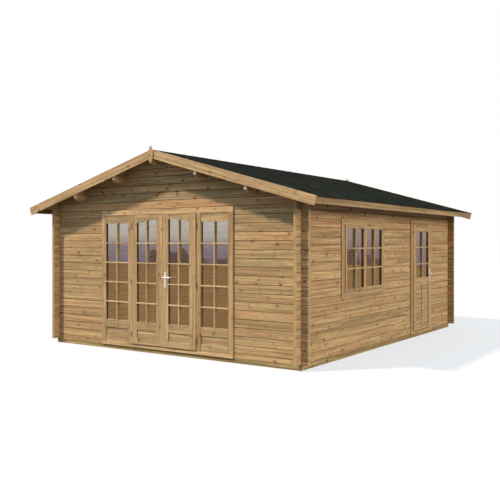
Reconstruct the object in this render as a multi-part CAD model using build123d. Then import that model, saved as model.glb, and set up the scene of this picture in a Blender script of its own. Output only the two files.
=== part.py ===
from build123d import *
import math
import os

# Garden house of stacked logs with a low gable roof.
# The front gable faces -Y and the wall with the window and the single door faces +X.
# The origin is on the ground under the middle of the roof. All lengths are millimetres.

os.makedirs("parts", exist_ok=True)

# Plan and log walls
plan_width = 4480
plan_depth = 5480
log_thickness = 44
log_height = 114
log_end = 110
log_groove = 5
side_courses = 19
beam_height = 70
beam_width = 70

# Floor
joist_width = 45
joist_count = 9
floor_thickness = 18

# Roof
roof_pitch = 15.85
eave_overhang = 350
gable_overhang = 260
roof_board_thickness = 19
shingle_top = 3
shingle_butt = 6
shingle_rows = 17
drip_edge = 8
cap_width = 140
cap_thickness = 3
purlin_width = 44
purlin_depth = 180
purlin_places = (755, 1570)
purlin_nose_height = 38
purlin_nose_length = 46
bargeboard_depth = 120
bargeboard_thickness = 20
bargeboard_rise = 3
bargeboard_joint = 1
eave_board_depth = 85
eave_board_thickness = 18
finial_thickness = 20
finial_top = 48
finial_shoulder = (40, 26)
finial_waist = (24, 155)
finial_tip = 199

# Frames, shared by both doors and the window
frame_lip = 18
frame_lap = 18
clearance = 5
stop_width = 14
glass_thickness = 4
glass_bite = 9
glass_edge_gap = 1
panel_recess = 10
cut_margin = 1

# Front doors, measured from the middle of the house and from the ground
front_unit_width = 2440
front_unit_top = 2060
front_member_width = 75
front_post_width = 68
front_doorway = 1206
fixed_recess = 8
fixed_stile_width = 14
lip_bottom = 58
threshold_height = 30
leaf_thickness = 40
leaf_proud = 12
leaf_stile_width = 110
glass_bottom = 436
glass_top = 1867
arch_rise = 50
lower_panel = (200, 320)
fixed_thickness = 40

# Side window, measured from the front corner and from the ground
window_start = 1068
window_width = 1414
window_bottom = 824
window_top = 1902
window_jamb_width = 86
window_rail_height = 75
sash_member_width = 46
sash_thickness = 40
sash_proud = 12
sash_gap = 3

# Side door, measured from the front corner and from the ground
side_door_start = 3567
side_door_width = 950
side_door_top = 1962
side_member_width = 72
side_stile_width = 112
side_glass = (985, 1762)
side_panel = (180, 905)
side_muntin = 60

# Hinges and handles
hinge_radius = 7.5
hinge_half = 38
pin_radius = 3.5
pin_length = 25
pin_play = 0.3
hinge_stand = 8
web_span = (3, 7)
front_hinge_heights = (256, 1012, 1835)
side_hinge_heights = (256, 986, 1731)
plate_width = 36
plate_height = 222
plate_thickness = 4
front_lever_height = 1093
side_lever_height = 1045
plate_drop = 36
plate_from_edge = 52
spindle_radius = 4
neck_length = 40
lever_radius = 8
lever_length = 125
lever_play = 0.5

# Worked out from the sizes above
half_width = plan_width / 2
half_depth = plan_depth / 2
slope = math.tan(math.radians(roof_pitch))
slope_cos = math.cos(math.radians(roof_pitch))
slope_sin = math.sin(math.radians(roof_pitch))
eave_height = beam_height + side_courses * log_height - log_height / 4
ridge_height = eave_height + half_width * slope
roof_half_length = half_depth + gable_overhang
slope_length = (half_width + eave_overhang) / slope_cos
floor_top = beam_height + floor_thickness
threshold_top = beam_height + threshold_height
spindle_hole = spindle_radius + lever_play
far = 2 * max(plan_width, plan_depth)


def block(x0, x1, y0, y1, z0, z1):
    """Rectangular bar between two opposite corners."""
    middle = Pos((x0 + x1) / 2, (y0 + y1) / 2, (z0 + z1) / 2)
    return middle * Box(abs(x1 - x0), abs(y1 - y0), abs(z1 - z0))


def prism(points, direction, length):
    """Straight prism over a closed outline of points."""
    outline = make_face(Polyline(*points, close=True))
    return extrude(outline, amount=length, dir=direction)


def save(name, *solids):
    """Write one node, from one solid or from several that lie apart."""
    pieces = []
    for item in solids:
        pieces.extend(item.solids())
    shape = pieces[0] if len(pieces) == 1 else Compound(children=pieces)
    export_step(shape, f"parts/{name}.step")


def mirrored(shape):
    """Copy on the other side of the middle of the house."""
    return mirror(shape, about=Plane.YZ)


# Roof planes


def on_slope(s0, s1, y0, y1, n0, n1):
    """Board on the right roof plane: s runs down from the ridge, n stands off the boards' underside."""
    frame = Plane(
        origin=(0, 0, ridge_height),
        x_dir=(slope_cos, 0, -slope_sin),
        z_dir=(slope_sin, 0, slope_cos),
    )
    return frame.location * block(s0, s1, y0, y1, n0, n1)


def right_half(shape, gap=0):
    """Plumb cut at the ridge: keeps what lies right of the middle."""
    return shape & block(gap, far, -far, far, -far, far)


def above_roof():
    """All that lies over the underside of the roof boards, for planing logs and purlins."""
    reach = half_width + far
    low = ridge_height - reach * slope
    points = [
        (-reach, -far, low),
        (0, -far, ridge_height),
        (reach, -far, low),
        (reach, -far, far),
        (-reach, -far, far),
    ]
    return prism(points, (0, 1, 0), 2 * far)


roof_cut = above_roof()


# Log walls


def log_outline(first_joint, top):
    """Half of the section through stacked logs: a flat face with a V groove at each joint."""
    half = log_thickness / 2
    points = [(half, beam_height)]
    joint = first_joint
    while joint < top - log_groove:
        points.append((half, joint - log_groove))
        points.append((half - log_groove, joint))
        points.append((half, joint + log_groove))
        joint += log_height
    points.append((half, top))
    return points


def log_wall(along, centre, start, end, first_joint, top):
    """Solid wall of stacked logs that runs along X or Y, with its middle plane at centre."""
    side = log_outline(first_joint, top)
    ring = side + [(-t, z) for t, z in reversed(side)]
    if along == "X":
        points = [(start, centre + t, z) for t, z in ring]
        return prism(points, (1, 0, 0), end - start)
    points = [(centre + t, start, z) for t, z in ring]
    return prism(points, (0, 1, 0), end - start)


def cross_laps(x_sign, y_sign, first_core, open_top):
    """The notches where the other wall's logs pass: a quarter is cut from the top and bottom of each."""
    xs = sorted((x_sign * half_width, x_sign * (half_width - log_thickness)))
    ys = sorted((y_sign * half_depth, y_sign * (half_depth - log_thickness)))
    notches = []
    for course in range(side_courses):
        low = beam_height + first_core + course * log_height
        high = low + log_height / 2
        if open_top and course == side_courses - 1:
            high = eave_height + log_height
        notches.append(block(*xs, *ys, max(low, beam_height), high))
    return notches


long_x = half_width + log_end
long_y = half_depth + log_end
wall_line_x = half_width - log_thickness / 2
wall_line_y = half_depth - log_thickness / 2
gable_joint = beam_height + log_height / 2
side_joint = beam_height + log_height
side_core = log_height / 4
gable_core = -log_height / 4


def gable_wall(y_sign):
    """Front or back wall up to the roof: it starts on a half log, so its joints lie between the side ones."""
    wall = log_wall("X", y_sign * wall_line_y, -long_x, long_x, gable_joint, ridge_height + log_height)
    for x_sign in (-1, 1):
        wall = wall - cross_laps(x_sign, y_sign, side_core, True)
    return wall - roof_cut - all_purlins


def side_wall(x_sign):
    """Left or right wall, planed to the roof slope on top."""
    top = eave_height + log_height / 2
    wall = log_wall("Y", x_sign * wall_line_x, -long_y, long_y, side_joint, top)
    for y_sign in (-1, 1):
        wall = wall - cross_laps(x_sign, y_sign, gable_core, False)
    return wall - roof_cut


def purlin(place):
    """Roof beam along the house with its lower corner cut off at both ends."""
    end = roof_half_length - bargeboard_thickness
    high = ridge_height - abs(place) * slope
    low = high - purlin_depth
    nose = low + purlin_nose_height
    x0 = place - purlin_width / 2
    points = [
        (x0, -end, nose),
        (x0, -end + purlin_nose_length, low),
        (x0, end - purlin_nose_length, low),
        (x0, end, nose),
        (x0, end, high + purlin_width),
        (x0, -end, high + purlin_width),
    ]
    return prism(points, (1, 0, 0), purlin_width) - roof_cut


ridge_purlin = purlin(0)
side_purlins = [purlin(sign * place) for place in purlin_places for sign in (-1, 1)]
all_purlins = [ridge_purlin] + side_purlins
save("ridge_purlin", ridge_purlin)
save("side_purlins", *side_purlins)

# Foundation and floor

inner_x = half_width - beam_width
inner_y = half_depth - beam_width
room_x = half_width - log_thickness
room_y = half_depth - log_thickness
save(
    "end_foundation_beams",
    block(-half_width, half_width, -half_depth, -inner_y, 0, beam_height),
    block(-half_width, half_width, inner_y, half_depth, 0, beam_height),
)
save(
    "side_foundation_beams",
    block(-half_width, -inner_x, -inner_y, inner_y, 0, beam_height),
    block(inner_x, half_width, -inner_y, inner_y, 0, beam_height),
)
joist_step = 2 * inner_y / (joist_count + 1)
joists = []
for number in range(1, joist_count + 1):
    y = -inner_y + number * joist_step
    joists.append(block(-inner_x, inner_x, y - joist_width / 2, y + joist_width / 2, 0, beam_height))
save("floor_joists", *joists)
save("floor_boards", block(-room_x, room_x, -room_y, room_y, beam_height, floor_top))

# Walls, split beside and over the doorways and the window

front_face = -half_depth
front_half_opening = front_unit_width / 2 - frame_lap
front_opening_top = front_unit_top - frame_lap
front_courses = math.ceil((front_opening_top - gable_joint) / log_height)
front_split = gable_joint + front_courses * log_height

front_wall = gable_wall(-1)
front_hole = block(-front_half_opening, front_half_opening, -far, 0, 0, front_opening_top)
front_low = block(-far, far, -far, 0, 0, front_split)
front_over = block(-front_half_opening, front_half_opening, -far, 0, front_opening_top, front_split)
save("front_wall_left", (front_wall & block(-far, -front_half_opening, -far, 0, 0, front_split)))
save("front_wall_right", (front_wall & block(front_half_opening, far, -far, 0, 0, front_split)))
save("front_gable", (front_wall - front_low) + (front_wall & front_over))
save("back_wall", gable_wall(1))
save("left_wall", side_wall(-1))

right_face = half_width
window_y0 = -half_depth + window_start
window_y1 = window_y0 + window_width
side_door_y0 = -half_depth + side_door_start
side_door_y1 = side_door_y0 + side_door_width
window_hole = (window_y0 + frame_lap, window_y1 - frame_lap, window_bottom + frame_lap, window_top - frame_lap)
side_hole = (side_door_y0 + frame_lap, side_door_y1 - frame_lap, side_door_top - frame_lap)
right_courses = math.ceil((side_hole[2] - side_joint) / log_height)
right_split = side_joint + right_courses * log_height

right_wall = side_wall(1)
save("right_wall_front", right_wall & block(0, far, -far, window_hole[0], 0, right_split))
save("right_wall_middle", right_wall & block(0, far, window_hole[1], side_hole[0], 0, right_split))
save("right_wall_rear", right_wall & block(0, far, side_hole[1], far, 0, right_split))
save("right_wall_under_window", right_wall & block(0, far, window_hole[0], window_hole[1], 0, window_hole[2]))
over_window = right_wall & block(0, far, window_hole[0], window_hole[1], window_hole[3], right_split)
over_door = right_wall & block(0, far, side_hole[0], side_hole[1], side_hole[2], right_split)
save("right_wall_top", (right_wall & block(0, far, -far, far, right_split, far)) + over_window + over_door)

# Roof

board_end = roof_half_length - bargeboard_thickness
board_slope = slope_length - eave_board_thickness
boards = right_half(on_slope(-far / 4, board_slope, -board_end, board_end, 0, roof_board_thickness))
save("roof_boards_right", boards)
save("roof_boards_left", mirrored(boards))


def shingles():
    """Covering of the right slope: lapped rows, each thick at its lower edge, up to the flat strip under the cap."""
    tail = slope_length + drip_edge
    ridge_s = -roof_board_thickness * slope
    row = (tail - cap_width) / shingle_rows
    base = roof_board_thickness
    points = [(ridge_s - shingle_butt, base), (ridge_s - shingle_butt, base + shingle_top)]
    for number in range(shingle_rows):
        start = cap_width + number * row
        points.append((start, base + shingle_top))
        points.append((start + row, base + shingle_butt))
    points.append((tail, base))
    shape = []
    for s, n in points:
        shape.append((s * slope_cos + n * slope_sin, -board_end, ridge_height - s * slope_sin + n * slope_cos))
    return right_half(prism(shape, (0, 1, 0), 2 * board_end))


covering = shingles()
save("roofing_right", covering)
save("roofing_left", mirrored(covering))
cap_base = roof_board_thickness + shingle_top
cap_side = right_half(on_slope(-far / 4, cap_width, -board_end, board_end, cap_base, cap_base + cap_thickness))
save("ridge_cap", cap_side + mirrored(cap_side))

bargeboard_top = roof_board_thickness + shingle_butt + bargeboard_rise
for name, y0 in (("front_bargeboards", -roof_half_length), ("back_bargeboards", board_end)):
    plank = on_slope(
        -far / 4,
        slope_length,
        y0,
        y0 + bargeboard_thickness,
        bargeboard_top - bargeboard_depth,
        bargeboard_top,
    )
    plank = right_half(plank, bargeboard_joint / 2)
    save(name, plank, mirrored(plank))

eave_board = on_slope(
    board_slope,
    slope_length,
    -board_end,
    board_end,
    roof_board_thickness - eave_board_depth,
    roof_board_thickness,
)
save("eave_boards", eave_board, mirrored(eave_board))


def finial(y0):
    """Pointed board over the joint of two bargeboards."""
    top = ridge_height + bargeboard_top / slope_cos
    side = [(finial_shoulder[0], -finial_shoulder[1]), (finial_waist[0], -finial_waist[1])]
    ring = [(0, finial_top)] + side + [(0, -finial_tip)] + [(-x, z) for x, z in reversed(side)]
    points = [(x, y0, top + z) for x, z in ring]
    return prism(points, (0, 1, 0), finial_thickness)


save("finials", finial(-roof_half_length - finial_thickness), finial(roof_half_length))

# Frames: each member laps over the sawn log ends with a lip on both faces of the wall
# A unit is drawn with u along its wall, v outwards from the wall's outer face and z upwards


def in_front(u0, u1, v0, v1, z0, z1):
    """Bar in the front wall."""
    return block(u0, u1, front_face - v1, front_face - v0, z0, z1)


def in_side(u0, u1, v0, v1, z0, z1):
    """Bar in the right wall."""
    return block(right_face + v0, right_face + v1, u0, u1, z0, z1)


def spot(place, u, v, z):
    """Point of a wall's unit in the house's own directions."""
    if place is in_front:
        return (u, front_face - v, z)
    return (right_face + v, u, z)


def framed(place, u0, u1, z0, z1, lips):
    """Frame member as deep as the wall, with lips past it on the named sides."""
    back = -log_thickness
    shape = place(u0, u1, back - frame_lip, frame_lip, z0, z1)
    left, right, down, up = lips
    for v0, v1 in ((0, frame_lip), (back - frame_lip, back)):
        shape = shape + place(u0 - left, u1 + right, v0, v1, z0 - down, z1 + up)
    return shape


def door_frame(place, u0, u1, top, member, posts, leaf_span):
    """Uprights, head and threshold of a door unit, with the stops behind the leaves."""
    head = top - member
    back = -log_thickness - frame_lip
    stop_face = frame_lip + leaf_proud - leaf_thickness - clearance
    stop_foot = threshold_top + stop_width / 2
    s0, s1 = leaf_span
    low = place(u0 + frame_lap, u1 - frame_lap, -log_thickness, frame_lip, beam_height, threshold_top)
    low = low + place(u0, u1, 0, frame_lip, lip_bottom, threshold_top)
    low = low + place(u0, u1, back, -log_thickness, floor_top, threshold_top)
    low = low + place(s0, s1, back, stop_face, threshold_top, stop_foot)
    lips = (frame_lap, frame_lap, 0, frame_lap)
    high = framed(place, u0 + frame_lap, u1 - frame_lap, head, top - frame_lap, lips)
    high = high + place(s0, s1, back, stop_face, head - stop_width, head)
    members = [(u0 + frame_lap, u0 + member, (frame_lap, 0, 0, 0))]
    members.extend((p0, p1, (0, 0, 0, 0)) for p0, p1 in posts)
    members.append((u1 - member, u1 - frame_lap, (0, frame_lap, 0, 0)))
    uprights = []
    for p0, p1, lips in members:
        upright = framed(place, p0, p1, threshold_top, head, lips)
        if abs(p1 - s0) < stop_width:
            upright = upright + place(s0, s0 + stop_width, back, stop_face, stop_foot, head - stop_width)
        if abs(p0 - s1) < stop_width:
            upright = upright + place(s1 - stop_width, s1, back, stop_face, stop_foot, head - stop_width)
        uprights.append(upright)
    return uprights, high, low


# Front door unit

front_u = front_unit_width / 2
doorway_half = front_doorway / 2
post_outer = doorway_half + front_post_width
front_posts = [(-post_outer, -doorway_half), (doorway_half, post_outer)]
uprights, head_piece, threshold = door_frame(
    in_front,
    -front_u,
    front_u,
    front_unit_top,
    front_member_width,
    front_posts,
    (-doorway_half, doorway_half),
)
save("front_frame_uprights", *uprights)
save("front_frame_head", head_piece)
save("front_threshold", threshold)

front_head = front_unit_top - front_member_width
arch_half_span = doorway_half - clearance - leaf_stile_width
arch_radius = (arch_half_span**2 + arch_rise**2) / (2 * arch_rise)


def flat_glass(place, u0, u1, v_middle, z0, z1, grow):
    """Straight pane, or the space for it, grown past the visible opening."""
    half = glass_thickness / 2
    return place(u0 - grow, u1 + grow, v_middle - half, v_middle + half, z0 - grow, z1 + grow)


def arched_opening(u0, u1, v0, v1, z0, grow):
    """Opening of one front leaf: its head is a part of the one low arch over both leaves."""
    radius = arch_radius + grow
    centre = glass_top + arch_rise - arch_radius
    tall = in_front(u0 - grow, u1 + grow, v0, v1, z0 - grow, glass_top + 2 * arch_rise)
    drum = Pos(0, front_face - (v0 + v1) / 2, centre) * Rot(90, 0, 0) * Cylinder(radius, v1 - v0)
    return tall & drum


fixed_face = frame_lip - fixed_recess
fixed_middle = fixed_face - fixed_thickness / 2
panes = []
panels = []
for sign in (-1, 1):
    u0, u1 = sorted((sign * post_outer, sign * (front_u - front_member_width)))
    g0, g1 = u0 + fixed_stile_width, u1 - fixed_stile_width
    panel = in_front(u0, u1, fixed_face - fixed_thickness, fixed_face, threshold_top, front_head)
    panel = panel - in_front(g0, g1, -far, far, glass_bottom, glass_top)
    panel = panel - flat_glass(in_front, g0, g1, fixed_middle, glass_bottom, glass_top, glass_bite + glass_edge_gap)
    for v0, v1 in ((fixed_face - panel_recess, far), (-far, fixed_face - fixed_thickness + panel_recess)):
        panel = panel - in_front(g0, g1, v0, v1, *lower_panel)
    panels.append(panel)
    panes.append(flat_glass(in_front, g0, g1, fixed_middle, glass_bottom, glass_top, glass_bite))
save("fixed_panels", *panels)
save("fixed_glass", *panes)

leaf_face = frame_lip + leaf_proud
leaf_back = leaf_face - leaf_thickness
leaf_middle = leaf_face - leaf_thickness / 2
leaf_bottom = threshold_top + stop_width / 2 + clearance
leaf_top = front_head - clearance


def front_leaf():
    """Right-hand leaf: two stiles, three rails, a recessed lower panel and the groove for its pane."""
    u0 = clearance / 2
    u1 = doorway_half - clearance
    g0, g1 = u0 + leaf_stile_width, u1 - leaf_stile_width
    leaf = in_front(u0, u1, leaf_back, leaf_face, leaf_bottom, leaf_top)
    leaf = leaf - arched_opening(g0, g1, leaf_back - cut_margin, leaf_face + cut_margin, glass_bottom, 0)
    half = glass_thickness / 2
    grow = glass_bite + glass_edge_gap
    leaf = leaf - arched_opening(g0, g1, leaf_middle - half, leaf_middle + half, glass_bottom, grow)
    leaf = leaf - in_front(g0, g1, leaf_face - panel_recess, far, *lower_panel)
    leaf = leaf - in_front(g0, g1, -far, leaf_back + panel_recess, *lower_panel)
    pane = arched_opening(g0, g1, leaf_middle - half, leaf_middle + half, glass_bottom, glass_bite)
    return leaf, pane


leaf, pane = front_leaf()
spindle_x = clearance / 2 + plate_from_edge


def rod(place, u, v0, v1, z, radius):
    """Round bar or hole across a wall."""
    turn = Rot(90, 0, 0) if place is in_front else Rot(0, 90, 0)
    return Pos(*spot(place, u, (v0 + v1) / 2, z)) * turn * Cylinder(radius, abs(v1 - v0))


def lever_arm(place, u, direction, v0, v1, z):
    """One lever: a round neck and the grip, mitred together."""
    corners = [spot(place, u, v0, z), spot(place, u, v1, z), spot(place, u + direction * lever_length, v1, z)]
    path = Polyline(*corners)
    start = Plane(origin=path @ 0, z_dir=path % 0)
    return sweep(start * Circle(lever_radius), path=path, transition=Transition.RIGHT)


def handle(place, u, direction, z):
    """Two long plates and the pair of levers on one spindle."""
    reach = plate_thickness + neck_length
    middle = z - plate_drop
    u0, u1 = u - plate_width / 2, u + plate_width / 2
    plates = []
    lever = rod(place, u, leaf_back - reach / 2, leaf_face + reach / 2, z, spindle_radius)
    for outer, sign in ((leaf_face, 1), (leaf_back, -1)):
        v0, v1 = sorted((outer, outer + sign * plate_thickness))
        plate = place(u0, u1, v0, v1, middle - plate_height / 2, middle + plate_height / 2)
        plate = plate - rod(place, u, v0 - cut_margin, v1 + cut_margin, z, lever_radius + lever_play)
        plates.append(plate)
        lever = lever + lever_arm(place, u, direction, outer + sign * lever_play, outer + sign * reach, z)
    return plates, lever


def hinges(place, u, out, heights):
    """Drill-in hinges: the lower barrel with its pin stands on the frame, the upper one on the leaf."""
    axis_v = leaf_face + hinge_stand
    frame_side = []
    leaf_side = []
    for height in heights:
        x, y, z = spot(place, u, axis_v, height)
        low, high = height - hinge_half, height - pin_play
        barrel = Pos(x, y, (low + high) / 2) * Cylinder(hinge_radius, high - low)
        pin = Pos(x, y, (low + height + pin_length) / 2) * Cylinder(pin_radius, height + pin_length - low)
        w0, w1 = sorted((u + out * web_span[0], u + out * web_span[1]))
        web = place(w0, w1, frame_lip, axis_v, low, high)
        frame_side.append(barrel + pin + web)
        barrel = Pos(x, y, z + hinge_half / 2) * Cylinder(hinge_radius, hinge_half)
        w0, w1 = sorted((u - out * web_span[0], u - out * web_span[1]))
        web = place(w0, w1, leaf_face, axis_v, height, height + hinge_half)
        bore_top = height + pin_length + pin_play
        bore = Pos(x, y, (height + bore_top) / 2) * Cylinder(pin_radius + pin_play, bore_top - height)
        leaf_side.append(barrel + web - bore)
    return frame_side, leaf_side


def spindle_bore(place, u, z):
    """Hole through a leaf for the spindle."""
    return rod(place, u, leaf_back - cut_margin, leaf_face + cut_margin, z, spindle_hole)


hinge_u = doorway_half - clearance / 2
pins, knuckles = hinges(in_front, hinge_u, 1, front_hinge_heights)
hinge_pins = pins + [mirrored(pin) for pin in pins]
save("right_door_hinges", *knuckles)
save("left_door_hinges", *[mirrored(knuckle) for knuckle in knuckles])
save("left_door_leaf", mirrored(leaf))
save("left_door_glass", mirrored(pane))
save("right_door_leaf", leaf - spindle_bore(in_front, spindle_x, front_lever_height))
save("right_door_glass", pane)
plates, lever = handle(in_front, spindle_x, 1, front_lever_height)
save("right_door_plates", *plates)
save("right_door_lever", lever)

# Side window: one frame and two fixed-size sashes, each with its pane

w0, w1, wb, wt = window_y0, window_y1, window_bottom, window_top
frame = framed(
    in_side,
    w0 + frame_lap,
    w1 - frame_lap,
    wb + frame_lap,
    wt - frame_lap,
    (frame_lap, frame_lap, frame_lap, frame_lap),
)
inner = (w0 + window_jamb_width, w1 - window_jamb_width, wb + window_rail_height, wt - window_rail_height)
frame = frame - in_side(inner[0], inner[1], -far / 4, far / 4, inner[2], inner[3])
save("window_frame", frame)
sash_face = frame_lip + sash_proud
sash_back = sash_face - sash_thickness
sash_middle = sash_face - sash_thickness / 2
window_centre = (w0 + w1) / 2
sashes = []
panes = []
for s0, s1 in ((inner[0], window_centre - sash_gap / 2), (window_centre + sash_gap / 2, inner[1])):
    g0, g1 = s0 + sash_member_width, s1 - sash_member_width
    gb, gt = inner[2] + sash_member_width, inner[3] - sash_member_width
    sash = in_side(s0, s1, sash_back, sash_face, inner[2], inner[3])
    sash = sash - in_side(g0, g1, -far / 4, far / 4, gb, gt)
    sash = sash - flat_glass(in_side, g0, g1, sash_middle, gb, gt, glass_bite + glass_edge_gap)
    sashes.append(sash)
    panes.append(flat_glass(in_side, g0, g1, sash_middle, gb, gt, glass_bite))
save("window_sashes", *sashes)
save("window_glass", *panes)

# Side door

d0, d1 = side_door_y0, side_door_y1
leaf_u0 = d0 + side_member_width
leaf_u1 = d1 - side_member_width
uprights, head_piece, threshold = door_frame(
    in_side, d0, d1, side_door_top, side_member_width, [], (leaf_u0, leaf_u1)
)
save("side_frame_uprights", *uprights)
save("side_frame_head", head_piece)
save("side_threshold", threshold)
side_head = side_door_top - side_member_width
u0, u1 = leaf_u0 + clearance, leaf_u1 - clearance
g0, g1 = u0 + side_stile_width, u1 - side_stile_width
leaf = in_side(u0, u1, leaf_back, leaf_face, leaf_bottom, side_head - clearance)
leaf = leaf - in_side(g0, g1, -far / 4, far / 4, *side_glass)
leaf = leaf - flat_glass(in_side, g0, g1, leaf_middle, *side_glass, glass_bite + glass_edge_gap)
leaf_centre = (g0 + g1) / 2
for p0, p1 in ((g0, leaf_centre - side_muntin / 2), (leaf_centre + side_muntin / 2, g1)):
    leaf = leaf - in_side(p0, p1, leaf_face - panel_recess, far / 4, *side_panel)
    leaf = leaf - in_side(p0, p1, -far / 4, leaf_back + panel_recess, *side_panel)
side_spindle = u1 - plate_from_edge
save("side_door_leaf", leaf - spindle_bore(in_side, side_spindle, side_lever_height))
save("side_door_glass", flat_glass(in_side, g0, g1, leaf_middle, *side_glass, glass_bite))
pins, knuckles = hinges(in_side, leaf_u0 + clearance / 2, -1, side_hinge_heights)
hinge_pins.extend(pins)
save("side_door_hinges", *knuckles)
save("hinge_pins", *hinge_pins)
plates, lever = handle(in_side, side_spindle, -1, side_lever_height)
save("side_door_plates", *plates)
save("side_door_lever", lever)
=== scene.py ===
import math

import bpy
import numpy as np
from mathutils import Matrix, Vector


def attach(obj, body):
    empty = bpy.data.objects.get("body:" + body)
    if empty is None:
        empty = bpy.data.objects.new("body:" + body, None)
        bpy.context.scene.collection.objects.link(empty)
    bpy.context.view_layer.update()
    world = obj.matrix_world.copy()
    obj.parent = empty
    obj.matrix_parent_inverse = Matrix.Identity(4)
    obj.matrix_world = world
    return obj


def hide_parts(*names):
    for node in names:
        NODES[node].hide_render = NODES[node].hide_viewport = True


# Looks of the log garden house. All lengths are metres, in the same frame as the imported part: the front
# gable faces -Y, the right wall faces +X, and z = 0 is the ground.

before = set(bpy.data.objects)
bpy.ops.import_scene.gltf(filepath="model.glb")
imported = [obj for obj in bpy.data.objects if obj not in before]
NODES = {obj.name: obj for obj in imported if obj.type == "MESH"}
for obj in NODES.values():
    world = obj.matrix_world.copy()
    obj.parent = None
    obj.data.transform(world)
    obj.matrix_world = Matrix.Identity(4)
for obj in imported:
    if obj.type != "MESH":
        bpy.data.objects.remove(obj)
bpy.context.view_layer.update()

# Sizes of the part that the patterns and the new pieces follow

half_width, half_depth = 2.24, 2.74
log_height, log_thickness = 0.114, 0.044
beam_height = 0.07
gable_joint = beam_height + log_height / 2
side_joint = beam_height + log_height
floor_top = 0.088
floor_board = 0.112
room_x, room_y = half_width - log_thickness, half_depth - log_thickness

roof_pitch = math.radians(15.85)
pitch_cos, pitch_sin, pitch_tan = math.cos(roof_pitch), math.sin(roof_pitch), math.tan(roof_pitch)
side_wall_top, eaves_reach = 2.2075, 0.35
ridge_height = side_wall_top + half_width * pitch_tan
slope_length = (half_width + eaves_reach) / pitch_cos
roof_end = 2.98
roof_board, roof_plank = 0.019, 0.088
board_slope = slope_length - 0.018

# Covering: the rows start at the edge of the cap strip and hang a little over the eaves; the face of a row
# lies this far over the boards at its upper end and climbs by the lap to its lower end
cap_width, drip = 0.14, 0.008
shingle_rows = 17
row_height = (slope_length + drip - cap_width) / shingle_rows
row_face, row_climb, cap_face = 0.003, 0.003, 0.006
tab_width = 0.1665

# Glass openings: from and to along the wall (on the front, out from the middle), and lower and upper edge
leaf_glass, panel_glass = (0.1125, 0.488), (0.685, 1.131)
front_glass_z, leaf_arch = (0.436, 1.867), 0.026
window_hole = (-1.586, -0.344)
sash_glass = {"front": (-1.540, -1.0125), "rear": (-0.9175, -0.390)}
sash_glass_z = (0.945, 1.781)
side_leaf_glass, side_leaf_glass_z = (1.016, 1.588), (0.985, 1.762)

# Outer and inner face of the wood round the glass, outwards from the face of the wall
leaf_faces, panel_faces = (0.030, -0.010), (0.010, -0.030)


# Shader helpers


def linear(code):
    """Scene-linear colour of an sRGB hex code: c / 12.92 up to 0.04045, else ((c + 0.055) / 1.055) ^ 2.4."""
    parts = [int(code[i : i + 2], 16) / 255 for i in (0, 2, 4)]
    return tuple(c / 12.92 if c <= 0.04045 else ((c + 0.055) / 1.055) ** 2.4 for c in parts) + (1.0,)


def add(tree, kind, *values, stops=(), **named):
    """Adds one shader node with its settings and links. Values fill its live inputs in order. A name in
    small letters is a setting of the node, and any other name an input, with _ for a space. A node given
    as a value stands for its first live output. Stops are the places and hex colours of a colour ramp."""
    node = tree.nodes.new("ShaderNode" + kind)
    for name, value in named.items():
        if name.islower():
            setattr(node, name, value)
    if stops:
        elements = node.color_ramp.elements
        while len(elements) < len(stops):
            elements.new(0.5)
        for element, (position, code) in zip(elements, stops):
            element.position = position
            element.color = linear(code)
    inputs = [(node.inputs[name.replace("_", " ")], named[name]) for name in named if not name.islower()]
    inputs += zip([socket for socket in node.inputs if socket.enabled], values)
    for socket, value in inputs:
        if isinstance(value, bpy.types.Node):
            value = next(output for output in value.outputs if output.enabled)
        if isinstance(value, bpy.types.NodeSocket):
            tree.links.new(value, socket)
        else:
            socket.default_value = value
    return node


def new_material(name):
    """Material with an empty tree, and that tree."""
    made = bpy.data.materials.new(name)
    made.use_nodes = True
    made.node_tree.nodes.clear()
    return made, made.node_tree


# Timber

# Marks on 100 mm of a planed board, along the grain and across it. The growth rings of spruce lie 1 to 5 mm
# apart, and the fine ones wouldn't show in the render, so the streaks are as coarse as the widest rings.
STREAKS = (0.24, 21.0)  # dark late wood, 4.8 mm apart and 0.4 m long
BANDS = (0.07, 3.0)  # bundles of rings, 33 mm apart and 1.4 m long
FLAME = (0.08, 0.8)  # the wandering figure of a flat sawn board, 125 mm apart and 1.2 m long
PATCHES = (0.22, 0.9)  # where the treatment soaked in, 110 mm apart and 0.45 m long
FLAME_RINGS = 70.0  # radians over the whole range of the flame, about 11 rings
END_RINGS = 2300.0  # radians a metre, so one ring every 2.7 mm on a sawn end

KNOT_CELL = 0.34  # a board of spruce shows at most one knot on this length
KNOT_HEIGHT = 0.10  # and on this height, where the board has no course of its own
KNOT_RADIUS, KNOT_EDGE, KNOT_HALO = 0.014, 0.004, 0.030

WOOD = {
    "treatment": "85805a",
    "heartwood": "b57a4c",
    "late_wood": "875d36",
    "early_wood": "e0b882",
    "streak": "6b4a29",
    "flame": "7f5a32",
    "halo": "8f5a30",
    "knot": "56321c",
    "treated_end": "94784c",
    "joint_dirt": "472c17",
    "seam": "3a2413",
}


def wood_pattern(tree, place, marks, **values):
    """Soft noise with so many marks on 100 mm, first along the grain and then across it."""
    along, across = 10 * marks[0], 10 * marks[1]
    spread = add(tree, "Mapping", Vector=place, Scale=(along, across, across))
    return add(tree, "TexNoise", Vector=spread, Scale=1.0, **values)


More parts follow.
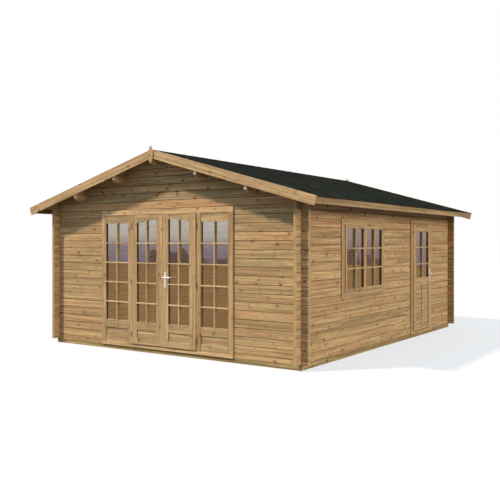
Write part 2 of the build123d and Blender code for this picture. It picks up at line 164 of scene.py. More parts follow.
def board_axes(tree, along, across, slope):
    """Length along the grain, depth and height across it, and how much a face looks along the grain.
    On the slope of the roof the length is sign(x) (|x| cos - z sin), and the height |x| sin + z cos."""
    coordinates = add(tree, "TexCoord").outputs
    place = add(tree, "SeparateXYZ", coordinates["Object"]).outputs
    facing = add(tree, "SeparateXYZ", coordinates["Normal"]).outputs
    length, depth, height = (place[axis] for axis in {"X": "XYZ", "Y": "YXZ", "Z": "ZXY"}[along])
    if across:
        height, depth = place[across], place["Y" if across == "X" else "X"]
    if slope:
        out = add(tree, "Math", place["X"], operation="ABSOLUTE")
        spot = add(tree, "CombineXYZ", out, 0.0, place["Z"])
        down = add(tree, "VectorMath", spot, (pitch_cos, 0.0, -pitch_sin), operation="DOT_PRODUCT")
        side = add(tree, "Math", place["X"], operation="SIGN")
        length = add(tree, "Math", down, side, operation="MULTIPLY")
        height = add(tree, "VectorMath", spot, (pitch_sin, 0.0, pitch_cos), operation="DOT_PRODUCT")
    return length, depth, height, facing[along]


def rail_stretches(tree, value, rails):
    """1 where value lies within one of the rails, else 0, and the distance to the nearest end of a rail."""
    inside, nearest = 0.0, 1.0
    turn = 0.0001
    for low, high in rails:
        past_low = add(tree, "MapRange", value, low, low + turn)
        before_high = add(tree, "MapRange", value, high - turn, high, 1.0, 0.0)
        here = add(tree, "Math", past_low, before_high, operation="MULTIPLY")
        inside = add(tree, "Math", inside, here, operation="MAXIMUM")
        for end in (low, high):
            apart = add(tree, "Math", value, end, operation="SUBTRACT")
            apart = add(tree, "Math", apart, operation="ABSOLUTE")
            nearest = add(tree, "Math", nearest, apart, operation="MINIMUM")
    return inside, nearest


def knots_of(tree, length, board, height, seed, course, bands, amount):
    """How much of a place is knot, and how much the dark wood round one. Each board is cut into cells with
    one point each. The distance to the nearest point, made uneven by the bands and less the knot's radius,
    fades over the edge of the knot and over its halo. About half of the radii come out below nothing, and
    those cells stay clear."""
    cell_height = course or KNOT_HEIGHT
    cell = add(tree, "Math", length, KNOT_CELL, operation="DIVIDE")
    cell = add(tree, "Math", cell, seed, operation="ADD")
    level = add(tree, "Math", height, cell_height, operation="DIVIDE")
    spread = add(tree, "CombineXYZ", cell, board, level)
    points = add(tree, "TexVoronoi", Vector=spread, Scale=1.0, Randomness=1.0).outputs
    away = add(tree, "VectorMath", spread, points["Position"], operation="SUBTRACT")
    away = add(tree, "VectorMath", away, (KNOT_CELL * 0.7, 0.0, cell_height), operation="MULTIPLY")
    away = add(tree, "VectorMath", away, operation="LENGTH")
    wobble = add(tree, "Math", bands, 0.5, operation="SUBTRACT")
    wobble = add(tree, "Math", wobble, 0.012, operation="MULTIPLY")
    away = add(tree, "Math", away, wobble, operation="ADD")
    chance = add(tree, "SeparateColor", points["Color"])
    radius = add(tree, "MapRange", chance, 0.45, 1.0, -KNOT_EDGE, KNOT_RADIUS)
    past = add(tree, "Math", away, radius, operation="SUBTRACT")
    knot = add(tree, "MapRange", past, -KNOT_EDGE, KNOT_EDGE, 0.9, 0.0)
    halo = add(tree, "MapRange", past, 0.0, KNOT_HALO, 0.5, 0.0)
    return (add(tree, "Math", part, amount, operation="MULTIPLY") for part in (knot, halo))


def sawn_end(tree, inside, depth, chance, ends):
    """Colour of sawn ends: rings round the trunk's pith, dark where sin(radius x END_RINGS) is high, and a
    share of the treatment, which end grain drinks in, by chance."""
    from_pith = add(tree, "CombineXYZ", inside, depth, 0.02)
    radius = add(tree, "VectorMath", from_pith, operation="LENGTH")
    turns = add(tree, "Math", radius, END_RINGS, operation="MULTIPLY")
    rings = add(tree, "MapRange", add(tree, "Math", turns, operation="SINE"), -0.4, 0.9, 0.0, 0.4)
    colour = add(tree, "Mix", rings, linear(ends[0]), linear(ends[1]), data_type="RGBA")
    treated = add(tree, "MapRange", chance, 0.0, 1.0, 0.0, 0.5)
    return add(tree, "Mix", treated, colour, linear(WOOD["treated_end"]), data_type="RGBA")


def timber(name, along, tones, across=None, course=0.0, first=0.0, batch=0.0, knots=1.0, dirt=0.0,
           rails=(), slope=False, ends=("bd9869", "8d6a3b")):
    """Planed pressure-treated spruce: dull straw to reddish wood with its grain along one axis, and greener
    where the treatment soaked in. With a course, each board of that height, counted from first, has its own
    tone, grain and knots, as the boards come from different trunks. Another batch gives other boards.
    Dirt darkens the joints between the courses. Rails are the stretches between a door's stiles, where
    the grain lies across. Ends are the light and the dark rings of sawn ends."""
    material, tree = new_material(name)
    length, depth, height, looks_along = board_axes(tree, along, across, slope)
    if rails:
        from_middle = add(tree, "Math", height, operation="ABSOLUTE") if across == "X" else height
        turned, seam = rail_stretches(tree, from_middle, rails)
        lying = add(tree, "Mix", turned, length, height, data_type="FLOAT")
        rising = add(tree, "Mix", turned, height, length, data_type="FLOAT")
        other_wood = add(tree, "Math", turned, 3.7, operation="MULTIPLY")
        length, height = lying, add(tree, "Math", rising, other_wood, operation="ADD")
    if course:
        raised = add(tree, "Math", height, first, operation="SUBTRACT")
        raised = add(tree, "Math", raised, course, operation="DIVIDE")
        inside = add(tree, "Math", raised, operation="FRACT")
        inside = add(tree, "Math", inside, course, operation="MULTIPLY")
    else:
        raised, inside = add(tree, "Math", height, 3.0, operation="DIVIDE"), height
    board = add(tree, "Math", raised, operation="FLOOR")
    seed = add(tree, "Math", board, 7.31, batch, operation="MULTIPLY_ADD")
    chance = add(tree, "TexWhiteNoise", W=seed, noise_dimensions="1D").outputs
    chances = add(tree, "SeparateColor", chance["Color"]).outputs

    place = add(tree, "CombineXYZ", length, add(tree, "Math", depth, seed, operation="ADD"), height)
    streaks = wood_pattern(tree, place, STREAKS, Detail=2.0)
    bands = wood_pattern(tree, place, BANDS, Detail=3.0, Roughness=0.6)
    flame = wood_pattern(tree, place, FLAME, Detail=1.0)
    rings = add(tree, "Math", flame, FLAME_RINGS, operation="MULTIPLY")
    rings = add(tree, "Math", rings, operation="SINE")
    patches = wood_pattern(tree, place, PATCHES, Detail=2.0)
    knot, halo = knots_of(tree, length, board, height, seed, course, bands, knots)

    soaked = add(tree, "MapRange", patches, 0.38, 0.68)
    thirst = add(tree, "MapRange", chances[1], 0.2, 1.0, 0.1, 0.6)
    rosy = add(tree, "MapRange", flame, 0.45, 0.75)
    redness = add(tree, "MapRange", chances[2], 0.45, 1.0, 0.0, 0.6)
    is_end = add(tree, "Math", looks_along, operation="ABSOLUTE")
    is_end = add(tree, "MapRange", is_end, 0.80, 0.95)
    layers = [
        (add(tree, "Math", soaked, thirst, operation="MULTIPLY"), linear(WOOD["treatment"])),
        (add(tree, "Math", rosy, redness, operation="MULTIPLY"), linear(WOOD["heartwood"])),
        (add(tree, "MapRange", bands, 0.50, 0.70, 0.0, 0.62), linear(WOOD["late_wood"])),
        (add(tree, "MapRange", bands, 0.49, 0.34, 0.0, 0.66), linear(WOOD["early_wood"])),
        (add(tree, "MapRange", streaks, 0.42, 0.72, 0.0, 0.48), linear(WOOD["streak"])),
        (add(tree, "MapRange", rings, 0.3, 1.0, 0.0, 0.22), linear(WOOD["flame"])),
        (halo, linear(WOOD["halo"])),
        (knot, linear(WOOD["knot"])),
        (is_end, sawn_end(tree, inside, depth, chances[0], ends)),
    ]
    if dirt:
        to_top = add(tree, "Math", course, inside, operation="SUBTRACT")
        edge = add(tree, "Math", inside, to_top, operation="MINIMUM")
        darkened = add(tree, "MapRange", edge, 0.0015, 0.0060, dirt, 0.0)
        spared = add(tree, "Math", is_end, 0.75, operation="MULTIPLY")
        spared = add(tree, "Math", 1.0, spared, operation="SUBTRACT")
        darkened = add(tree, "Math", darkened, spared, operation="MULTIPLY")
        layers.append((darkened, linear(WOOD["joint_dirt"])))
    if rails:
        layers.append((add(tree, "MapRange", seam, 0.0004, 0.0012, 0.8, 0.0), linear(WOOD["seam"])))
    colour = add(tree, "ValToRGB", chance["Value"], stops=tones)
    for amount, over in layers:
        colour = add(tree, "Mix", amount, colour, over, data_type="RGBA")

    # the plane leaves the hard late wood a little proud and a little duller
    proud = add(tree, "Math", streaks, 0.6, operation="MULTIPLY")
    figure = add(tree, "Math", rings, 0.1, operation="MULTIPLY")
    surface = add(tree, "Math", proud, figure, operation="ADD")
    bump = add(tree, "Bump", Height=surface, Distance=0.0006, Strength=0.6)
    rough = add(tree, "MapRange", streaks, 0.3, 0.7, 0.66, 0.82)
    skin = add(tree, "BsdfPrincipled", Base_Color=colour, Roughness=rough, Normal=bump)
    skin.inputs["Specular IOR Level"].default_value = 0.3
    add(tree, "OutputMaterial", Surface=skin)
    return material


WALL_TONES = (
    (0.0, "b39263"),
    (0.2, "cba06c"),
    (0.4, "ac8b5e"),
    (0.55, "c7a06b"),
    (0.75, "ca9868"),
    (1.0, "a98d63"),
)
TRIM_TONES = ((0.0, "b99b70"), (0.5, "c29a6c"), (1.0, "b1976a"))
EAVE_TONES = ((0.0, "a48a62"), (1.0, "a98960"))
FRAME_TONES = ((0.0, "be9c6f"), (0.5, "c29869"), (1.0, "b9986c"))
HEAD_TONES = ((0.0, "deb480"), (1.0, "dcb07c"))
BEAM_TONES = ((0.0, "96804f"), (1.0, "8e7a4b"))
BAR_TONES = ((0.0, "d2b080"), (1.0, "cda878"))
# painted highlight: the purlins' sawn ends are painted far lighter than other sawn ends, as if sunlit, though
# the bargeboards shade their noses
LIT_PURLIN_ENDS = ("ead0a4", "d2ae7c")

gable_courses = {"course": log_height, "first": gable_joint}
side_courses = {"course": log_height, "first": side_joint}
log_x = timber("spruce_logs_across", "X", WALL_TONES, **gable_courses, dirt=0.8, batch=23.7)
log_y = timber("spruce_logs_along", "Y", WALL_TONES, **side_courses, dirt=0.65)
beam_x = timber("treated_beam_across", "X", BEAM_TONES)
beam_y = timber("treated_beam_along", "Y", BEAM_TONES)
floor_wood = timber("spruce_floor", "X", WALL_TONES, across="Y", course=floor_board, dirt=0.8)
roof_wood = timber("spruce_roof_boards", "X", TRIM_TONES, across="Y", course=roof_plank, dirt=0.9)
trim_x = timber("spruce_bargeboard", "X", TRIM_TONES, slope=True)
trim_y = timber("spruce_fascia", "Y", EAVE_TONES)
# the purlins take the lighter sawn-end colours above, a painted highlight on their noses
purlin_wood = timber("spruce_purlin", "Y", TRIM_TONES, ends=LIT_PURLIN_ENDS)
upright_x = timber("spruce_front_upright", "Z", FRAME_TONES, across="X", knots=0.8)
upright_y = timber("spruce_side_upright", "Z", FRAME_TONES, across="Y", knots=0.8)
leaf_x = timber("spruce_front_leaf", "Z", FRAME_TONES, across="X", knots=0.8, rails=(leaf_glass, panel_glass))
leaf_y = timber("spruce_side_leaf", "Z", FRAME_TONES, across="Y", knots=0.8, rails=(side_leaf_glass,))
sash_y = timber("spruce_sash", "Z", FRAME_TONES, across="Y", knots=0.8, rails=tuple(sash_glass.values()))
window_y = timber("spruce_window_frame", "Z", FRAME_TONES, across="Y", knots=0.8, rails=(window_hole,))
bar_x = timber("spruce_front_bar", "Z", BAR_TONES, across="X", knots=0.3)
bar_y = timber("spruce_side_bar", "Z", BAR_TONES, across="Y", knots=0.3)
lying_bar_x = timber("spruce_front_lying_bar", "X", BAR_TONES, knots=0.3)
lying_bar_y = timber("spruce_side_lying_bar", "Y", BAR_TONES, knots=0.3)
frame_x = timber("spruce_rail_across", "X", HEAD_TONES, knots=0.8)
frame_y = timber("spruce_rail_along", "Y", FRAME_TONES, knots=0.8)


# Covering, glass and fittings


def roofing():
    """Bitumen shingle, mineral grains pressed into tar: dead matt and nearly black, each tab a shade lighter
    or darker. The tab of a place is its row down the slope and its number along the house, where every
    second row is shifted by half a tab."""
    material, tree = new_material("bitumen_shingle")
    place = add(tree, "TexCoord").outputs["Object"]
    across, along, _ = add(tree, "SeparateXYZ", place).outputs
    down = add(tree, "Math", across, operation="ABSOLUTE")
    down = add(tree, "Math", down, pitch_cos, operation="DIVIDE")
    top_line = cap_width + (roof_board + row_face + row_climb / 2) * pitch_tan
    row = add(tree, "Math", down, top_line, operation="SUBTRACT")
    row = add(tree, "Math", row, row_height, operation="DIVIDE")
    row = add(tree, "Math", row, operation="FLOOR")
    shift = add(tree, "Math", row, 2.0, operation="MODULO")
    shift = add(tree, "Math", shift, 0.5, operation="MULTIPLY")
    tab = add(tree, "Math", along, tab_width, operation="DIVIDE")
    tab = add(tree, "Math", tab, shift, operation="ADD")
    tab = add(tree, "Math", tab, operation="FLOOR")
    shade = add(tree, "TexWhiteNoise", Vector=add(tree, "CombineXYZ", row, tab, 0.0))
    # 62 grains on 100 mm, 1.6 mm apart: the real grit of 0.5 to 1 mm is drawn this coarse so that it shows
    grains = add(tree, "TexVoronoi", Vector=place, Scale=620.0).outputs
    # the tar's mottle changes over about 110 mm
    mottle = add(tree, "TexNoise", Vector=place, Scale=9.0, Detail=4.0)
    tone = add(
        tree,
        "Math",
        add(tree, "Math", shade, 0.45, operation="MULTIPLY"),
        add(tree, "Math", mottle, 0.55, operation="MULTIPLY"),
        operation="ADD",
    )
    colour = add(tree, "ValToRGB", tone, stops=((0.15, "161714"), (0.5, "1e1f1b"), (0.85, "292b26")))
    pale = add(tree, "MapRange", add(tree, "SeparateColor", grains["Color"]), 0.55, 1.0, 0.0, 0.5)
    colour = add(tree, "Mix", pale, colour, linear("33362f"), data_type="RGBA")
    bump = add(tree, "Bump", Height=grains["Distance"], Distance=0.0008, Strength=0.6)
    skin = add(tree, "BsdfPrincipled", Base_Color=colour, Roughness=0.95, Normal=bump, Specular_IOR_Level=0.0)
    add(tree, "OutputMaterial", Surface=skin)
    return material


def glazing():
    """Coated float glass: clear and dead flat, with a sharp reflection. Its index of refraction starts from
    the 1.5 of glass and is raised, with the coat's, until the panes mirror as much as the real ones.
    Light that falls through a pane is only dimmed."""
    material, tree = new_material("clear_window_glass")
    pane = add(
        tree,
        "BsdfPrincipled",
        Base_Color=linear("f9faf9"),
        Roughness=0.0,
        Transmission_Weight=1.0,
        IOR=1.9,
        Coat_Weight=1.0,
        Coat_IOR=2.9,
        Coat_Roughness=0.0,
    )
    path = add(tree, "LightPath").outputs
    clear = add(tree, "BsdfTransparent", linear("eff1f0"))
    falls_through = add(tree, "Math", path["Is Shadow Ray"], path["Is Diffuse Ray"], operation="MAXIMUM")
    add(tree, "OutputMaterial", Surface=add(tree, "MixShader", falls_through, pane, clear))
    return material


def polished(name, code, metal, roughness, marks):
    """Plated steel, brushed or tumbled before it is plated: a bright even skin, whose fine marks soften its
    gloss. Marks are how many of them lie on 100 mm, 2 to 3 mm apart. The real ones are a hundred times finer
    and wouldn't show, so they are drawn this coarse."""
    material, tree = new_material(name)
    place = add(tree, "TexCoord").outputs["Object"]
    fine = add(tree, "TexNoise", Vector=place, Scale=10 * marks, Detail=2.0)
    gloss = add(tree, "MapRange", fine, 0.3, 0.7, roughness * 0.8, roughness * 1.25)
    skin = add(tree, "BsdfPrincipled", Base_Color=linear(code), Metallic=metal, Roughness=gloss)
    add(tree, "OutputMaterial", Surface=skin)
    return material


shingle = roofing()
glass = glazing()
chrome = polished("satin_chrome", "e4e6e8", 0.6, 0.46, 42.0)
zinc = polished("zinc_plated_steel", "b4b6b4", 1.0, 0.38, 30.0)

FINISHES = (
    (log_x, "front_wall_left front_wall_right front_gable back_wall"),
    (log_y, "left_wall right_wall_front right_wall_middle right_wall_rear"),
    (log_y, "right_wall_under_window right_wall_top"),
    (beam_x, "end_foundation_beams floor_joists"),
    (beam_y, "side_foundation_beams"),
    (floor_wood, "floor_boards"),
    (roof_wood, "roof_boards_left roof_boards_right"),
    (purlin_wood, "ridge_purlin side_purlins"),
    (trim_x, "front_bargeboards back_bargeboards"),
    (trim_y, "eave_boards"),
    (shingle, "roofing_left roofing_right ridge_cap"),
    (upright_x, "finials front_frame_uprights"),
    (upright_y, "side_frame_uprights"),
    (leaf_x, "fixed_panels left_door_leaf right_door_leaf"),
    (leaf_y, "side_door_leaf"),
    (frame_x, "front_frame_head front_threshold"),
    (frame_y, "side_frame_head side_threshold"),
    (window_y, "window_frame"),
    (sash_y, "window_sashes"),
    (glass, "fixed_glass left_door_glass right_door_glass window_glass side_door_glass"),
    (zinc, "left_door_hinges right_door_hinges side_door_hinges hinge_pins"),
    (chrome, "right_door_plates side_door_plates right_door_lever side_door_lever"),
)
for material, names in FINISHES:
    for name in names.split():
        mesh = NODES[name].data
        mesh.materials.clear()
        mesh.materials.append(material)


# New pieces


def new_object(name, vertices, faces, material):
    """Object at the origin, with a mesh made from arrays of corners and faces."""
    mesh = bpy.data.meshes.new(name)
    mesh.from_pydata(np.asarray(vertices).tolist(), [], faces)
    mesh.update()
    mesh.materials.append(material)
    made = bpy.data.objects.new(name, mesh)
    bpy.context.scene.collection.objects.link(made)
    return made


def new_piece(name, vertices, faces, material, body, slot):
    """New object that is part of the house and moves with a body."""
    piece = new_object(name, vertices, faces, material)
    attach(piece, body)
    return piece


def bars(boxes):
    """Planed bars: each is a straight run of one cross-section, a rectangle with its two outer long edges
    planed off at 45 degrees. Works on all the bars at once: corner = low side + profile x width + planed
    step, and the same outwards, swept from the start to the end of the run.

    boxes: rows (upright, u0, u1, v0, v1, z0, z1, planed), upright 1 for a bar along z, 0 for one along u."""
    boxes = np.asarray(boxes, float)
    upright = boxes[:, 0, None] > 0.5
    planed = boxes[:, 7, None]
    inner, outer = boxes[:, 3, None], boxes[:, 4, None]
    low = np.where(upright, boxes[:, 1, None], boxes[:, 5, None])
    high = np.where(upright, boxes[:, 2, None], boxes[:, 6, None])
    # the six corners of the cross-section: shares of the width and the thickness, and steps to plane off
    across = np.array([0, 1, 1, 1, 0, 0.0])
    step_in = np.array([0, 0, 0, -1, 1, 0.0])
    outwards = np.array([0, 0, 1, 1, 1, 1.0])
    step_back = np.array([0, 0, -1, 0, 0, -1.0])
    corners = len(across)
    side = low + across * (high - low) + step_in * planed
    out = inner + outwards * (outer - inner) + step_back * planed
    run = np.where(upright, boxes[:, 5:7], boxes[:, 1:3])
    points = np.empty((len(boxes), 2, corners, 3))
    for end in (0, 1):
        at = run[:, end, None] + 0 * side
        points[:, end, :, 0] = np.where(upright, side, at)
        points[:, end, :, 1] = out
        points[:, end, :, 2] = np.where(upright, at, side)
    ring = np.arange(corners)
    following = (ring + 1) % corners
    skin = np.stack([ring, following, following + corners, ring + corners], 1)
    caps = np.stack([ring[::-1], ring + corners])
    starts = (np.arange(len(boxes)) * 2 * corners)[:, None, None]
    quads, ends = (skin + starts).reshape(-1, 4), (caps + starts).reshape(-1, corners)
    return points.reshape(-1, 3), quads.tolist() + ends.tolist()


def place_front(points):
    """u along the front wall, v outwards, z up, in the house's own axes."""
    return np.stack([points[:, 0], -half_depth - points[:, 1], points[:, 2]], 1)


def place_side(points):
    """u along the right wall, v outwards, z up, in the house's own axes."""
    return np.stack([half_width + points[:, 1], points[:, 0], points[:, 2]], 1)


upright_width, lying_width = 0.020, 0.018
bar_raised, bar_planed = 0.008, 0.003
lap_foot, lap_head, lap_side = 0.032, 0.012, 0.018
pane_room, housed = 0.002, 0.0005


def lattice(along, levels, upright_z, faces):
    """Bars over one pane, with one upright in the middle: on each side of the glass, a core from the pane to
    the face of the wood and, on that, a planed strip that laps over the wood at both ends. The lying strips
    are housed over the upright one and stand half a millimetre further out."""
    u0, u1 = along
    z0, z1 = upright_z
    face, back = faces
    pane = (face + back) / 2
    rows = []
    for outer, out, planed in ((face, 1, bar_planed), (back, -1, 0.0)):
        core = sorted((pane + out * pane_room, outer))
        strip = sorted((outer, outer + out * bar_raised))
        over = sorted((outer, outer + out * (bar_raised + housed)))
        a, b = (u0 + u1) / 2 - upright_width / 2, (u0 + u1) / 2 + upright_width / 2
        rows.append((1, a, b, *core, z0, z1, 0.0))
        rows.append((1, a, b, *strip, z0 - lap_foot, z1 + lap_head, planed))
        for z in levels:
            a, b = z - lying_width / 2, z + lying_width / 2
            rows.append((0, u0, u1, core[0] + housed, core[1] - housed, a, b, 0.0))
            rows.append((0, u0 - lap_side, u1 + lap_side, *over, a, b, planed))
    return rows


def glazing_bars(name, rows, place, body, upright_wood, lying_wood):
    """One joined mesh of the bars on one leaf, panel or sash, with the grain along each bar. The faces come
    in the order of bars(): six sides of each bar, then two ends of each."""
    points, faces = bars(rows)
    slot = "frame_timber" if body == "house" else "door_timber"
    mesh = new_piece(name, place(points), faces, upright_wood, body, slot).data
    mesh.materials.append(lying_wood)
    lying = 1 - np.array([row[0] for row in rows])
    mesh.polygons.foreach_set("material_index", np.repeat(lying, 6).tolist() + np.repeat(lying, 2).tolist())


front_levels = (1.570, 1.285, 0.996, 0.706)
side_levels = (1.502, 1.219)
foot_z, head_z = front_glass_z
for sign, name in ((-1, "left"), (1, "right")):
    panel, leaf = (sorted(sign * u for u in glass_edges) for glass_edges in (panel_glass, leaf_glass))
    rows = lattice(panel, front_levels, front_glass_z, panel_faces)
    glazing_bars(f"fixed_{name}_bars", rows, place_front, "house", bar_x, lying_bar_x)
    rows = lattice(leaf, front_levels, (foot_z, head_z + leaf_arch), leaf_faces)
    glazing_bars(f"{name}_leaf_bars", rows, place_front, f"{name}_leaf", bar_x, lying_bar_x)
for name, sash in sash_glass.items():
    rows = lattice(sash, side_levels, sash_glass_z, leaf_faces)
    glazing_bars(f"window_{name}_bars", rows, place_side, "house", bar_y, lying_bar_y)
rows = lattice(side_leaf_glass, side_levels, side_leaf_glass_z, leaf_faces)
glazing_bars("side_leaf_bars", rows, place_side, "side_leaf", bar_y, lying_bar_y)


plank_joint, plank_planed, narrowest_plank = 0.0006, 0.0025, 0.008


def plank_rows(length, thickness, width, low, high):
    """Boards laid side by side on whole multiples of their width, each with two planed edges and a hair of
    room to the next, as rows for bars()."""
    starts = np.arange(math.floor(low / width), math.ceil(high / width)) * width
    left = np.maximum(starts + plank_joint / 2, low)
    right = np.minimum(starts + width - plank_joint / 2, high)
    kept = right - left > narrowest_plank
    return [(0, *length, *thickness, a, b, plank_planed) for a, b in zip(left[kept], right[kept])]


def slope_points(s, y, n, side):
    """Places on a roof slope: s down it from the ridge line, y along the house and n out from under its
    boards. x = side (s cos + n sin), z = ridge - s sin + n cos."""
    x = side * (s * pitch_cos + n * pitch_sin)
    z = ridge_height - s * pitch_sin + n * pitch_cos
    return np.stack([x, y, z], -1)


def plates(s, y, n, side):
    """Thin plates from their corners, which are arrays of (plate, under or upper face, left or right, up or
    down the slope). Each plate is a closed box of six faces, turned over on the left slope."""
    points = slope_points(s, y, n, side).reshape(-1, 3)
    quads = np.array([[0, 2, 3, 1], [4, 5, 7, 6], [0, 4, 6, 2], [1, 3, 7, 5], [0, 1, 5, 4], [2, 6, 7, 3]])
    if side < 0:
        quads = quads[:, ::-1]
    starts = np.arange(len(points) // 8)[:, None, None] * 8
    return points, (starts + quads).reshape(-1, 4).tolist()


tab_slot, tab_over, tab_sunk, narrowest_tab = 0.006, 0.0012, 0.0005, 0.02
tab_reach = (0.02, 0.992)


def shingle_tabs(side):
    """Tabs of the covering on one slope, 1.2 mm over the lapped row that they end. A tab reaches over nearly
    the whole height of its row, its upper face lies at n = the row's own face + 1.2 mm, and every second
    row is shifted by half a tab."""
    reach = math.ceil(roof_end / tab_width)
    row, tab = (a.ravel() for a in np.meshgrid(range(shingle_rows), range(-reach, reach + 2), indexing="ij"))
    first = (tab - 0.5 * (row % 2)) * tab_width
    low = np.clip(first + tab_slot / 2, -roof_end, roof_end)
    high = np.clip(first + tab_width - tab_slot / 2, -roof_end, roof_end)
    row, low, high = (a[high - low > narrowest_tab] for a in (row, low, high))
    start = (cap_width + row * row_height)[:, None, None, None]
    way = np.array(tab_reach)[None, None, None]
    over = np.array([-tab_sunk, tab_over])[None, :, None, None]
    shape = (len(row), 2, 2, 2)
    s = np.broadcast_to(start + way * row_height, shape)
    y = np.broadcast_to(np.stack([low, high], 1)[:, None, :, None], shape)
    n = np.broadcast_to(roof_board + row_face + row_climb * way + over, shape)
    return plates(s, y, n, side)


ridge_count, ridge_end_room, ridge_side_room = 24, 0.0015, 0.003
ridge_lap = ((-0.0005, -0.0005), (0.0008, 0.003))


def ridge_plates(side):
    """One side of the cap pieces that lap each other along the ridge, every 0.25 m: the upper face climbs
    from 0.8 to 3 mm over the cap strip and meets the other side's in the middle plane, where s = - n tan."""
    step = 2 * (roof_end - ridge_end_room) / ridge_count
    first = ridge_end_room - roof_end + np.arange(ridge_count) * step
    shape = (ridge_count, 2, 2, 2)
    y = np.broadcast_to((first[:, None] + np.array([0.0, step]))[:, None, :, None], shape)
    n = np.broadcast_to(roof_board + cap_face + np.array(ridge_lap)[None, :, :, None], shape)
    s = np.where(np.arange(2) == 0, -n * pitch_tan, cap_width - ridge_side_room)
    return plates(s, y, n, side)


ridge_joint = 0.0005
for side, name in ((-1, "left"), (1, "right")):
    new_piece(f"roof_tabs_{name}", *shingle_tabs(side), shingle, "house", "bitumen_shingle")
    new_piece(f"ridge_pieces_{name}", *ridge_plates(side), shingle, "house", "bitumen_shingle")
    rows = plank_rows((ridge_joint, board_slope), (0.0, roof_board), roof_plank, -roof_end, roof_end)
    points, faces = bars(rows)
    points = slope_points(points[:, 0], -side * points[:, 2], roof_board - points[:, 1], side)
    planks = new_piece(f"roof_planks_{name}", points, faces, roof_wood, "house", "roof_timber")
    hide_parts(f"roof_boards_{name}")
points, faces = bars(plank_rows((-room_x, room_x), (beam_height, floor_top), floor_board, -room_y, room_y))
planks = new_piece("floor_planks", points[:, [0, 2, 1]], faces, floor_wood, "house", "floor_timber")
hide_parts("floor_boards")


# Stage


def who_looks(tree):
    """1 for the camera, also through glass, and 1 for anything that looks by way of a shiny surface."""
    path = add(tree, "LightPath").outputs
    not_diffuse = add(tree, "Math", 1.0, path["Is Diffuse Ray"], operation="SUBTRACT")
    mirror = add(tree, "Math", path["Glossy Depth"], not_diffuse, operation="MINIMUM")
    mirror = add(tree, "Math", mirror, path["Is Glossy Ray"], operation="MAXIMUM")
    seen = add(tree, "Math", path["Is Camera Ray"], path["Is Transmission Ray"], operation="MAXIMUM")
    not_mirror = add(tree, "Math", 1.0, mirror, operation="SUBTRACT")
    return add(tree, "Math", seen, not_mirror, operation="MULTIPLY"), mirror


def studio_paper():
    """Matt pale studio paper, which keeps the house's shadow. It throws little light back up at the house,
    and shiny things see it as dark ground."""
    material, tree = new_material("studio_paper")
    seen, mirror = who_looks(tree)
    colour = add(tree, "Mix", seen, linear("65696c"), linear("cecece"), data_type="RGBA")
    colour = add(tree, "Mix", mirror, colour, linear("896542"), data_type="RGBA")
    paper = add(tree, "BsdfPrincipled", Base_Color=colour, Roughness=0.95, Specular_IOR_Level=0.0)
    glow = add(tree, "Emission", Color=linear("ffffff"), Strength=1.0)
    lit = add(tree, "Math", seen, 0.65, operation="MULTIPLY")
    add(tree, "OutputMaterial", Surface=add(tree, "MixShader", lit, paper, glow))
    return material


def studio_floor(reach, count):
    """Level floor sheet of count x count corners: x and y in even steps from -reach to reach, z = 0."""
    side = np.linspace(-reach, reach, count)
    x, y = np.meshgrid(side, side)
    vertices = np.stack([x.ravel(), y.ravel(), np.zeros(x.size)], 1)
    index = np.arange(count * count).reshape(count, count)
    faces = np.stack([index[:-1, :-1], index[:-1, 1:], index[1:, 1:], index[1:, :-1]], -1).reshape(-1, 4)
    floor = new_object("studio_floor", vertices, faces.tolist(), studio_paper())


studio_floor(34.0, 13)


# Light


def sun(name, strength, width, colour, place):
    """Sun that many degrees wide, which shines from a place towards the middle of the house's ground."""
    light = bpy.data.lights.new(name, "SUN")
    light.energy = strength
    light.angle = math.radians(width)
    light.color = colour
    place = Vector(place)
    made = bpy.data.objects.new(name, light)
    made.matrix_world = Matrix.Translation(place) @ (-place).to_track_quat("-Z", "Y").to_matrix().to_4x4()
    bpy.context.scene.collection.objects.link(made)


# The key comes over the front left, and the right wall lives on a wide fill from its own side
key_turn, key_rise, key_away = math.radians(42), math.radians(50), 12.0
key_place = (
    -math.sin(key_turn) * math.cos(key_rise) * key_away,
    -math.cos(key_turn) * math.cos(key_rise) * key_away,
    math.sin(key_rise) * key_away,
)
sun("key", 4.15, 4, (1.0, 0.95, 0.88), key_place)
sun("back_fill", 0.9, 40, (1.0, 0.96, 0.90), (-5.0, 12.0, 2.4))
sun("side_fill", 2.1, 24, (1.0, 0.94, 0.865), (12.0, -0.5, 3.9))


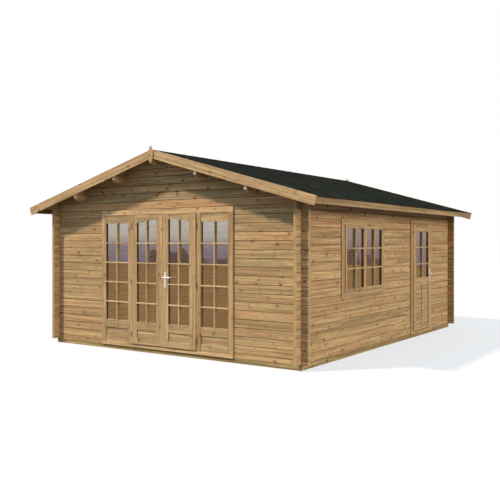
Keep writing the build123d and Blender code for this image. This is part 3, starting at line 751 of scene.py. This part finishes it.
def evening_sky(tree, towards):
    """What shiny things see, and how far up each direction looks: a pale evening sky, mauve over the horizon
    and cream above it, duller towards the back, with the tops of far trees where the noise is high."""
    _, sideways, height = add(tree, "SeparateXYZ", towards).outputs
    rise = add(tree, "MapRange", height, -0.030, 0.035)
    stops = ((0.0, "a390a0"), (0.40, "b9a9ae"), (0.58, "efe4d4"), (1.0, "fff9ee"))
    sky = add(tree, "ValToRGB", rise, stops=stops)
    dull = add(tree, "MapRange", sideways, -0.2, 0.6, 0.0, 0.75)
    sky = add(tree, "Mix", dull, sky, linear("ac8e84"), data_type="RGBA")
    treetops = add(tree, "TexNoise", Vector=towards, Scale=12.0, Detail=4.0)
    treetops = add(tree, "MapRange", treetops, 0.44, 0.58, -0.035, -0.008)
    over = add(tree, "Math", height, treetops, operation="SUBTRACT")
    trees = add(tree, "MapRange", over, -0.003, 0.003, 1.0, 0.0)
    trees = add(tree, "Math", trees, 0.8, operation="MULTIPLY")
    return add(tree, "Mix", trees, sky, linear("7a5a44"), data_type="RGBA"), height


world = bpy.data.worlds.new("studio")
bpy.context.scene.world = world
world.use_nodes = True
tree = world.node_tree
tree.nodes.clear()
seen, mirror = who_looks(tree)
sky, height = evening_sky(tree, add(tree, "TexCoord").outputs["Generated"])
# the light of the room is soft and cool and comes mostly from above, so that it fades under the eaves
from_above = add(tree, "MapRange", height, 0.0, 0.6, 0.42, 1.05)
soft = add(tree, "Background", Color=(0.64, 0.83, 1.0, 1.0), Strength=from_above)
mirrored = add(tree, "Background", Color=sky, Strength=1.0)
plain = add(tree, "Background", Color=(1.0, 1.0, 1.0, 1.0), Strength=1.0)
room = add(tree, "MixShader", mirror, soft, mirrored)
add(tree, "OutputWorld", Surface=add(tree, "MixShader", seen, room, plain))


# Camera, as it was worked out from the photo's edges: level, at eye height

focal_pixels, horizon_row, frame_pixels = 697.29, 242.152, 500.0
camera_data = bpy.data.cameras.new("camera")
camera_data.sensor_width = 36.0
camera_data.lens = focal_pixels * camera_data.sensor_width / frame_pixels
camera_data.shift_y = (horizon_row - frame_pixels / 2) / frame_pixels
camera_data.clip_end = 300.0
camera = bpy.data.objects.new("camera", camera_data)
camera.location = (6.5815, -10.1723, 1.5883)
camera.rotation_euler = (math.radians(90), 0.0, math.radians(34.4711))
bpy.context.scene.collection.objects.link(camera)
scene = bpy.context.scene
scene.camera = camera
scene.view_settings.view_transform = "Standard"
